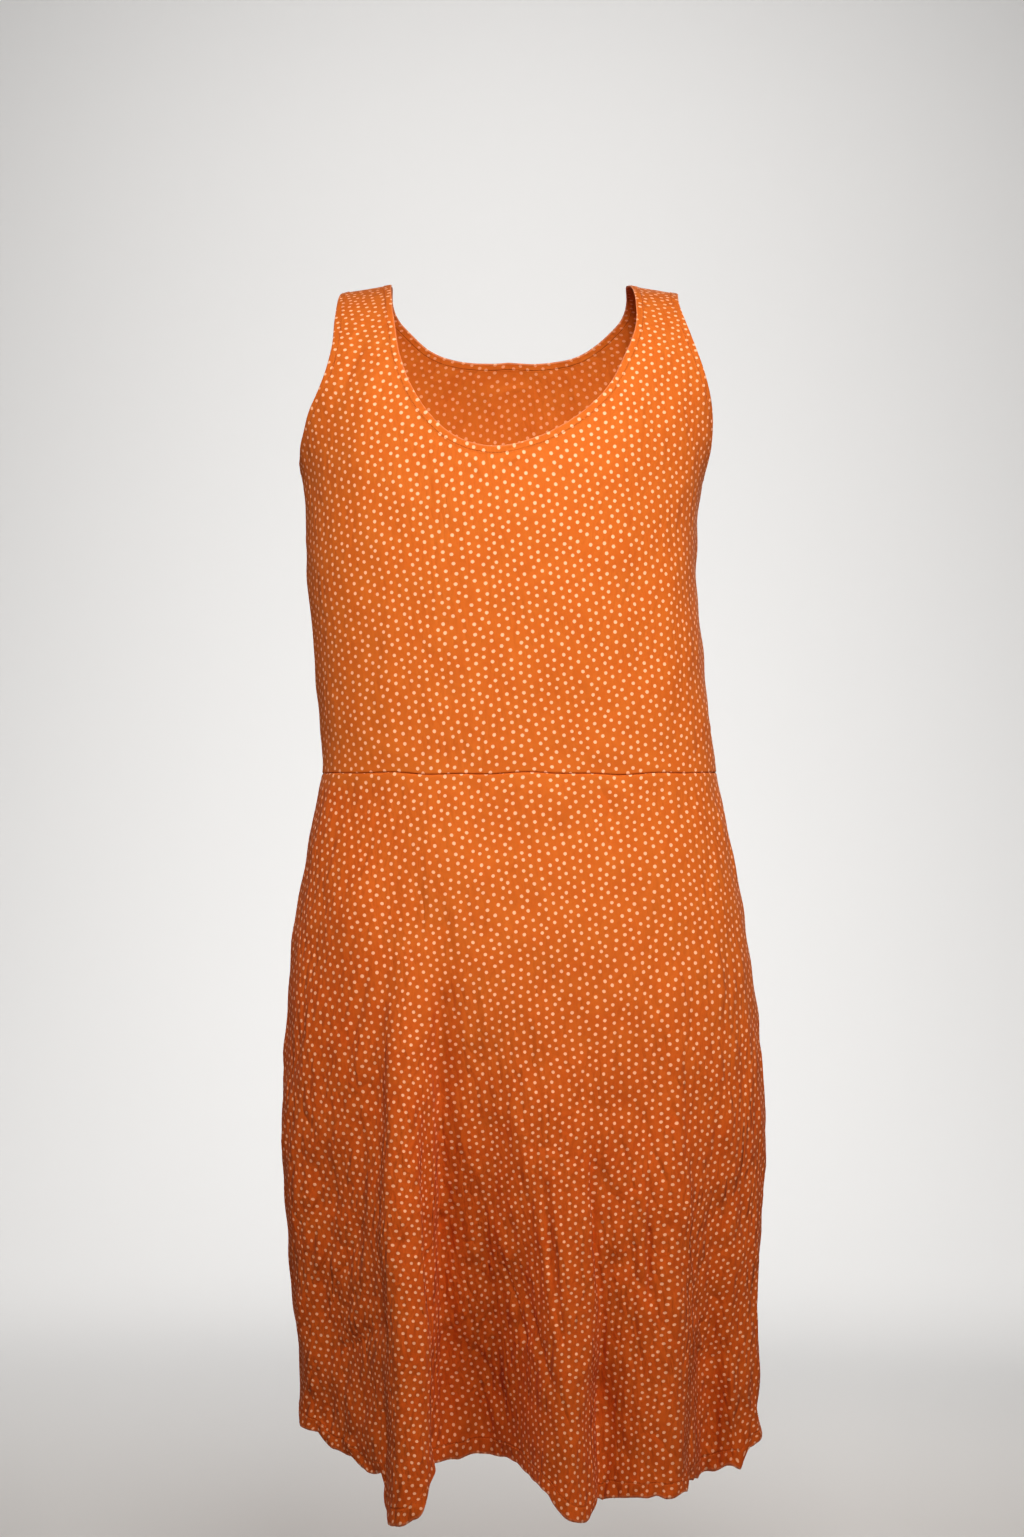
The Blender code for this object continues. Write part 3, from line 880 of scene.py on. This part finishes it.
def clothPiece(kind, side, sheet):
    _, _, flat, faces, fromEdge, fromWaist, _, layout = sheet
    moved = settledPoints(kind, side, sheet)
    ordered = [face if side == front else face[::-1] for face in faces]
    name = kind["nodes"][side] + "_cloth"
    piece = newPiece(name, moved, ordered, clothFace, clothReverse)
    mesh = piece.data

    corner = np.zeros(len(mesh.loops), np.int32)
    mesh.loops.foreach_get("vertex_index", corner)
    laid = mesh.uv_layers.new(name="flatCloth")
    laid.data.foreach_set("uv", layout[corner].astype(np.float32).ravel())
    crinkleAndShade = kind["crinkleAndShade"](flat[:, 0], flat[:, 1])
    values = {
        "bandShare": fromEdge / kind["band"],
        "seamDistance": fromWaist,
        "crinkleAndShade": crinkleAndShade * (0.3 + 0.7 * smooth(fromWaist, 0, 0.02)),
    }
    for label, value in values.items():
        layer = mesh.attributes.new(label, "FLOAT", "POINT")
        layer.data.foreach_set("value", value.astype(np.float32))

    doubled = piece.vertex_groups.new(name="turned cloth")
    weights = 1 - smooth(fromEdge, kind["band"] * 0.86, kind["band"] * 1.1)
    for number in np.flatnonzero(weights > 0.001):
        doubled.add([int(number)], float(weights[number]), "REPLACE")
    thicken = piece.modifiers.new("Cloth thickness", "SOLIDIFY")
    thicken.thickness = kind["turnedWall"]
    thicken.vertex_group = doubled.name
    thicken.thickness_vertex_group = kind["wall"] / kind["turnedWall"]
    thicken.offset = 0
    thicken.material_offset = 1
    bpy.context.view_layer.objects.active = piece
    piece.select_set(True)
    bpy.ops.object.modifier_apply(modifier=thicken.name)
    piece.select_set(False)

    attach(piece, "root")
    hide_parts(kind["nodes"][side])
    print(name, len(piece.data.polygons), "faces")
    return piece, moved


cloth = {
    "orange": (0.640, 0.162, 0.020, 1.0),
    # deeper orange: partly random tone, partly painted shade on the crinkled cloth lower down and
    # towards -X
    "deepAndShadedOrange": (0.600, 0.105, 0.009, 1.0),
    "cream": (0.97, 0.51, 0.31, 1.0),
    "worn": (0.86, 0.32, 0.17, 1.0),
    "seamShade": (0.26, 0.025, 0.004, 1.0),
    "surface": {
        "Roughness": 0.82,
        "Specular IOR Level": 0.25,
        "Sheen Weight": 0.06,
        "Sheen Roughness": 0.45,
        "Sheen Tint": (1.0, 0.72, 0.66, 1.0),
    },
    "dotSpacing": 0.0082,
    "dotRadius": 0.00150,
    "dotJitter": 0.31,
    "dotTurn": 0.39,
    "dotBends": ((0.10, 0.8), (0.24, 0.25)),
    "reverseFade": 0.45,
    "weave": (("X", 620.0), ("Y", 560.0)),
    "weaveHeight": 0.00003,
    "stitchedLine": 0.86,
    "stitchedWidth": 0.10,
    "stitchedDip": 0.00050,
}

# Sharp little creases: how far they lean, how many there are in a metre across and down, and
# their height in metres at -X, in the middle and at +X.
crinkleRow = namedtuple("crinkleRow", "lean across down left middle right")
crinkles = rowsOf(
    crinkleRow,
    (0.36, 60, 13, 0.0088, 0.0030, 0.0010),
    (0.04, 72, 17, 0.0030, 0.0088, 0.0066),
    (-0.16, 64, 15, 0.0000, 0.0056, 0.0106),
    (0.24, 135, 38, -0.0034, -0.0034, -0.0032),
    (-0.06, 240, 100, 0.0014, 0.0016, 0.0016),
)


def newFinish(name, values):
    # a material, its node tree and its shader, with these values set
    material = bpy.data.materials.new(name)
    material.use_nodes = True
    tree = material.node_tree
    shader = tree.nodes["Principled BSDF"]
    for key, value in values.items():
        shader.inputs[key].default_value = value
    return material, tree, shader


def addNode(tree, kind, inputs, **settings):
    # a socket among the inputs is linked, and anything else is set on the node
    node = tree.nodes.new("ShaderNode" + kind)
    for key, value in settings.items():
        setattr(node, key, value)
    for key, value in inputs.items():
        if isinstance(value, bpy.types.NodeSocket):
            tree.links.new(value, node.inputs[key])
        else:
            node.inputs[key].default_value = value
    return node


def mathNode(tree, operation, first, second=0.0, third=0.0):
    inputs = {0: first, 1: second, 2: third}
    return addNode(tree, "Math", inputs, operation=operation).outputs[0]


def vectorNode(tree, operation, inputs):
    return addNode(tree, "VectorMath", inputs, operation=operation).outputs[0]


def axesOf(tree, vector):
    return addNode(tree, "SeparateXYZ", {0: vector}).outputs


def rampNode(tree, value, low, high):
    inputs = {"Value": value, "From Min": low, "From Max": high}
    node = addNode(tree, "MapRange", inputs, interpolation_type="SMOOTHSTEP")
    return node.outputs[0]


def mixNode(tree, factor, first, second):
    inputs = {0: factor, 6: first, 7: second}
    return addNode(tree, "Mix", inputs, data_type="RGBA").outputs[2]


def dotShare(tree, uv):
    # a three-way lattice of dots, bent a little, with each dot slightly out of place
    spacing = (1 / cloth["dotSpacing"],) * 3
    mapping = {"Vector": uv, "Rotation": (0.0, 0.0, cloth["dotTurn"]), "Scale": spacing}
    place = addNode(tree, "Mapping", mapping).outputs[0]
    for scale, bend in cloth["dotBends"]:
        drift = {"Vector": place, "Scale": scale, "Detail": 0.0}
        colour = addNode(tree, "TexNoise", drift).outputs["Color"]
        centred = vectorNode(tree, "SUBTRACT", {0: colour, 1: (0.5, 0.5, 0.5)})
        moved = vectorNode(tree, "SCALE", {0: centred, "Scale": bend})
        place = vectorNode(tree, "ADD", {0: place, 1: moved})
    parts = axesOf(tree, place)
    slanted = mathNode(tree, "MULTIPLY_ADD", parts["Y"], -1 / math.sqrt(3), parts["X"])
    risen = mathNode(tree, "MULTIPLY", parts["Y"], 2 / math.sqrt(3))
    lattice = addNode(tree, "CombineXYZ", {"X": slanted, "Y": risen}).outputs[0]
    cells = {"Vector": lattice, "Scale": 1.0, "Randomness": cloth["dotJitter"]}
    kept = {"voronoi_dimensions": "2D", "feature": "F1"}
    middle = addNode(tree, "TexVoronoi", cells, **kept).outputs["Position"]
    away = vectorNode(tree, "SUBTRACT", {0: lattice, 1: middle})
    apart = axesOf(tree, away)
    awayX = mathNode(tree, "MULTIPLY_ADD", apart["Y"], 0.5, apart["X"])
    awayY = mathNode(tree, "MULTIPLY", apart["Y"], math.sqrt(3) / 2)
    squared = mathNode(tree, "MULTIPLY_ADD", awayX, awayX, mathNode(tree, "MULTIPLY", awayY, awayY))
    ragged = {"Vector": uv, "Scale": 900.0, "Detail": 2.0}
    wobble = mathNode(tree, "SUBTRACT", addNode(tree, "TexNoise", ragged).outputs[0], 0.5)
    distance = mathNode(tree, "MULTIPLY_ADD", wobble, 0.05, mathNode(tree, "SQRT", squared))
    radius = cloth["dotRadius"] / cloth["dotSpacing"]
    return mathNode(tree, "SUBTRACT", 1.0, rampNode(tree, distance, radius - 0.035, radius + 0.035))


def attributeShare(tree, name):
    return addNode(tree, "Attribute", {}, attribute_name=name).outputs["Fac"]


def clothColour(tree, uv, bandShare, fade):
    # the ground colour varies a little at random and is painted deeper and redder as painted shade
    # where the cloth is more crinkled, lower down the skirt and towards -X; it is paler right along
    # the cut edges, and a painted shade line darkens the waist seam
    mottle = {"Vector": uv, "Scale": 46.0, "Detail": 4.0, "Roughness": 0.6}
    mottled = rampNode(tree, addNode(tree, "TexNoise", mottle).outputs[0], 0.30, 0.72)
    # painted shade: the cloth is painted deeper and redder where it is more crinkled, lower down
    # the skirt and towards -X
    crinkleShade = rampNode(tree, attributeShare(tree, "crinkleAndShade"), 0.20, 1.0)
    deepAndShaded = mathNode(tree, "MULTIPLY_ADD", mottled, -0.30, 0.30)
    deepAndShaded = mathNode(tree, "MULTIPLY_ADD", crinkleShade, 0.70, deepAndShaded)
    ground = mixNode(tree, deepAndShaded, cloth["orange"], cloth["deepAndShadedOrange"])
    # paler right along the cut edges
    rim = mathNode(tree, "SUBTRACT", 1.0, rampNode(tree, bandShare, 0.04, 0.20))
    ground = mixNode(tree, mathNode(tree, "MULTIPLY", rim, 0.55), ground, cloth["worn"])
    dots = mathNode(tree, "MULTIPLY", dotShare(tree, uv), 1 - fade)
    printed = mixNode(tree, dots, ground, cloth["cream"])
    fromSeam = attributeShare(tree, "seamDistance")
    inSeam = mathNode(tree, "SUBTRACT", 1.0, rampNode(tree, fromSeam, 0.0001, 0.0007))
    return mixNode(tree, mathNode(tree, "MULTIPLY", inSeam, 0.85), printed, cloth["seamShade"])


def clothHeight(tree, uv, bandShare):
    # sharp little creases, the weave, and the stitched line at the inner edge of a turned band
    crinkleAndShade = attributeShare(tree, "crinkleAndShade")
    height = 0.0
    hanging = addNode(tree, "TexCoord", {}).outputs["Object"]
    across = axesOf(tree, hanging)["X"]
    towardsLeft = rampNode(tree, mathNode(tree, "MULTIPLY", across, -1.0), 0.06, 0.12)
    towardsRight = rampNode(tree, across, 0.06, 0.14)
    for row in crinkles:
        turned = {"Vector": hanging, "Rotation": (0.0, -row.lean, 0.0)}
        place = addNode(tree, "Mapping", turned).outputs[0]
        place = vectorNode(tree, "MULTIPLY", {0: place, 1: (row.across, row.across, row.down)})
        noise = {"Vector": place, "Scale": 1.0, "Detail": 1.5, "Distortion": 0.35}
        value = addNode(tree, "TexNoise", noise).outputs[0]
        folded = mathNode(tree, "ABSOLUTE", mathNode(tree, "SUBTRACT", value, 0.5))
        rise = mathNode(tree, "MULTIPLY_ADD", towardsLeft, row.left - row.middle, row.middle)
        rise = mathNode(tree, "MULTIPLY_ADD", towardsRight, row.right - row.middle, rise)
        height = mathNode(tree, "MULTIPLY_ADD", folded, rise, height)
    height = mathNode(tree, "MULTIPLY", height, crinkleAndShade)
    for direction, scale in cloth["weave"]:
        threads = {"Vector": uv, "Scale": scale}
        thread = addNode(tree, "TexWave", threads, bands_direction=direction).outputs["Fac"]
        height = mathNode(tree, "MULTIPLY_ADD", thread, cloth["weaveHeight"], height)
    fromLine = mathNode(tree, "SUBTRACT", bandShare, cloth["stitchedLine"])
    fromLine = mathNode(tree, "ABSOLUTE", fromLine)
    flatPart = rampNode(tree, fromLine, 0.0, cloth["stitchedWidth"])
    return mathNode(tree, "MULTIPLY_ADD", flatPart, cloth["stitchedDip"], height)


def dottedCloth(name, fade):
    material, tree, shader = newFinish(name, cloth["surface"])
    uv = addNode(tree, "UVMap", {}, uv_map="flatCloth").outputs["UV"]
    bandShare = attributeShare(tree, "bandShare")
    tree.links.new(clothColour(tree, uv, bandShare, fade), shader.inputs["Base Color"])
    bump = {"Height": clothHeight(tree, uv, bandShare), "Strength": 1.0, "Distance": 1.0}
    tree.links.new(addNode(tree, "Bump", bump).outputs[0], shader.inputs["Normal"])
    return material


clothFace = dottedCloth("dotted orange cloth", 0.0)
clothReverse = dottedCloth("reverse of the cloth", cloth["reverseFade"])
print("finishes made")

sewing = {
    "length": 0.0024,
    "thickness": 0.00046,
    "pitch": 0.0034,
    "edgeInset": 0.0062,
    "hemInset": 0.0132,
    "proud": 0.00010,
    "colour": (0.80, 0.21, 0.035, 1.0),
    "roughness": 0.6,
}


def threadFinish():
    material, tree, shader = newFinish("orange thread", {"Roughness": sewing["roughness"]})
    place = addNode(tree, "TexCoord", {}).outputs["Object"]
    twist = {"Vector": place, "Scale": 2200.0, "Distortion": 2.0}
    strands = addNode(tree, "TexWave", twist, bands_direction="DIAGONAL").outputs["Fac"]
    darker = tuple(0.7 * value for value in sewing["colour"][:3]) + (1.0,)
    tree.links.new(mixNode(tree, strands, darker, sewing["colour"]), shader.inputs["Base Color"])
    return material


def stitchShape():
    # one stitch, lying along X
    bpy.ops.mesh.primitive_ico_sphere_add(subdivisions=1, radius=0.5)
    stitch = bpy.context.object
    bpy.ops.object.mode_set(mode="EDIT")
    bpy.ops.mesh.select_all(action="SELECT")
    bpy.ops.transform.resize(value=(sewing["length"], sewing["thickness"], sewing["thickness"]))
    bpy.ops.object.mode_set(mode="OBJECT")
    return stitch


def insetLine(surface, side, pairs, inset):
    # a line this far in from a cut edge, with the way out of the cloth at each place
    edge = bodyPoints(side, pairs[:, 0], pairs[:, 1])
    outwards = bodyNormals(side, np.clip(pairs[:, 0], 0.002, 0.998), np.maximum(pairs[:, 1], 0.002))
    inwards = np.cross(outwards, np.gradient(edge, axis=0))
    inwards /= np.linalg.norm(inwards, axis=1, keepdims=True)
    middle = len(edge) // 2
    tries = [edge[middle] + sign * inset * inwards[middle] for sign in (1, -1)]
    gaps = [surface.find_nearest(Vector(place))[3] for place in tries]
    sign = 1 if gaps[0] < gaps[1] else -1
    return edge + sign * inset * inwards, outwards


def sewnPlaces(surface, line, outwards):
    # where each stitch lies on the outer face, and the way it runs and faces
    length = lengthsAlong(line)[-1]
    shares = np.linspace(0, 1, int(length / sewing["pitch"]) + 1)[1:-1]
    places = atShares(line, line, shares)
    alongs = atShares(line, np.gradient(line, axis=0), shares)
    lifts = atShares(line, outwards, shares)
    made = []
    for place, along, lift in zip(places, alongs, lifts):
        found, facing, _, _ = surface.find_nearest(Vector(place + 0.003 * lift))
        facing = np.array(facing)
        along = along - facing * along.dot(facing)
        along /= np.linalg.norm(along)
        made.append((np.array(found) + facing * sewing["proud"], along, facing))
    return made


def sewnPiece(name, shape, places, finish):
    corners = np.array([list(vertex.co) for vertex in shape.data.vertices])
    sides = np.array([list(face.vertices) for face in shape.data.polygons])
    allCorners = []
    allFaces = []
    for number, (place, along, facing) in enumerate(places):
        turned = np.stack([along, np.cross(facing, along), facing])
        allCorners.append(corners @ turned + place)
        allFaces.append(sides + number * len(corners))
    faces = np.concatenate(allFaces).tolist()
    piece = newPiece(name, np.concatenate(allCorners), faces, finish)
    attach(piece, "root")
    print(name, len(places), "stitches")


def surfaceOf(piece):
    corners = [vertex.co.copy() for vertex in piece.data.vertices]
    return BVHTree.FromPolygons(corners, [tuple(face.vertices) for face in piece.data.polygons])


edgePlaces = []
hemPlaces = []
for side in (front, back):
    bodice, _ = clothPiece(bodiceSettings, side, bodiceSheet(side))
    surface = surfaceOf(bodice)
    traces = [neckTrace(side, 400), armTrace(side, "left", 240), armTrace(side, "right", 240)]
    for trace in traces:
        line, outwards = insetLine(surface, side, trace, sewing["edgeInset"])
        edgePlaces += sewnPlaces(surface, line, outwards)

    sheet = skirtSheet(side)
    skirt, moved = clothPiece(skirtSettings, side, sheet)
    rows = skirtSettings["rows"] + 1
    grid = moved.reshape(rows, -1, 3)
    inset = sheet[4].reshape(rows, -1).mean(axis=1)
    row = int(np.argmin(np.abs(inset - sewing["hemInset"])))
    outwards = gridNormals(grid, side)[row]
    hemPlaces += sewnPlaces(surfaceOf(skirt), grid[row], outwards)

stitch = stitchShape()
thread = threadFinish()
sewnPiece("neck_and_armhole_stitches", stitch, edgePlaces, thread)
sewnPiece("hem_stitches", stitch, hemPlaces, thread)
bpy.data.objects.remove(stitch)
print("dress made")

studio = {
    "floorDown": 1.32,
    "floorSize": 12.0,
    "wallBehind": 5.6,
    "wallHeight": 6.0,
    "sweepRadius": 2.4,
    "floorColour": (0.70, 0.69, 0.68, 1.0),
    "airColour": (0.60, 0.61, 0.62, 1.0),
    "airStrength": 0.03,
}

# Places and aims in metres, the spread in degrees.
lightRow = namedtuple("lightRow", "name place aim size spread watts colour")
lights = rowsOf(
    lightRow,
    ("keyLight", (0.10, -1.45, 0.46), (0, 0, -0.16), 0.35, 116, 8.7, (1, 1, 0.97)),
    ("leftLight", (-1.25, -0.80, 0.06), (0, 0, -0.55), 0.6, 70, 0.99, (1, 0.85, 0.74)),
    ("rightLight", (1.35, -0.85, 0.12), (0, 0, -0.55), 0.6, 70, 1.56, (1, 0.85, 0.74)),
    ("fillLight", (1.5, -2.2, 0), (0, 0, -0.6), 1.0, 180, 1.3, (1, 0.85, 0.74)),
    ("rimLight", (0.5, 2.0, 0.6), (0, 0, -0.5), 1.0, 120, 12, (1, 0.96, 0.92)),
    ("wallLight", (0, 2.6, 1.6), (0, 5.2, -1.2), 2.4, 160, 90, (1, 1, 1)),
    ("roomLight", (0, -1.2, 3.0), (0, -1.4, -1.0), 3.0, 180, 6, (1, 1, 1)),
)


def makeFloor():
    # a pale floor that sweeps up behind the dress
    place = (0, 0, -studio["floorDown"])
    bpy.ops.mesh.primitive_plane_add(size=studio["floorSize"], location=place)
    floor = bpy.context.object
    floor.name = "floor"
    reach = studio["floorSize"] / 2
    bpy.ops.object.mode_set(mode="EDIT")
    bpy.ops.mesh.select_mode(type="EDGE")
    bpy.ops.mesh.select_all(action="DESELECT")
    bpy.ops.object.mode_set(mode="OBJECT")
    for edge in floor.data.edges:
        edge.select = all(floor.data.vertices[number].co.y > 0 for number in edge.vertices)
    bpy.ops.object.mode_set(mode="EDIT")
    bpy.ops.transform.translate(value=(0, studio["wallBehind"] - reach, 0))
    bpy.ops.mesh.extrude_region_move(TRANSFORM_OT_translate={"value": (0, 0, studio["wallHeight"])})
    bpy.ops.object.mode_set(mode="OBJECT")
    sweep = floor.modifiers.new("Sweep", "BEVEL")
    sweep.width = studio["sweepRadius"]
    sweep.segments = 24
    bpy.ops.object.modifier_apply(modifier=sweep.name)
    bpy.ops.object.shade_smooth()
    paint = newFinish("pale floor", {"Base Color": studio["floorColour"], "Roughness": 0.9})
    floor.data.materials.append(paint[0])


def makeLights():
    world = bpy.data.worlds.new("studio air")
    world.use_nodes = True
    air = world.node_tree.nodes["Background"]
    air.inputs["Color"].default_value = studio["airColour"]
    air.inputs["Strength"].default_value = studio["airStrength"]
    bpy.context.scene.world = world
    for row in lights:
        bpy.ops.object.light_add(type="AREA", location=row.place)
        light = bpy.context.object
        light.name = row.name
        light.data.size = row.size
        light.data.spread = math.radians(row.spread)
        light.data.energy = row.watts
        light.data.color = row.colour
        towards = Vector(row.aim) - Vector(row.place)
        light.rotation_euler = towards.to_track_quat("-Z", "Y").to_euler()


def makeCamera():
    # the picture is 1024 x 1537, and the lens is set by its height
    sensor = 36.0
    pictureHeight = 1537
    focalPixels = 3218
    bpy.ops.object.camera_add(location=(0.003, -2.8, -0.416), rotation=(math.pi / 2, 0, 0))
    camera = bpy.context.object
    camera.name = "camera"
    camera.data.sensor_width = sensor
    camera.data.lens = sensor * focalPixels / pictureHeight
    bpy.context.scene.camera = camera


makeFloor()
makeLights()
makeCamera()
bpy.context.scene.view_settings.view_transform = "Standard"
bpy.context.scene.view_settings.look = "Medium High Contrast"
bpy.ops.object.select_all(action="DESELECT")
print("studio made")
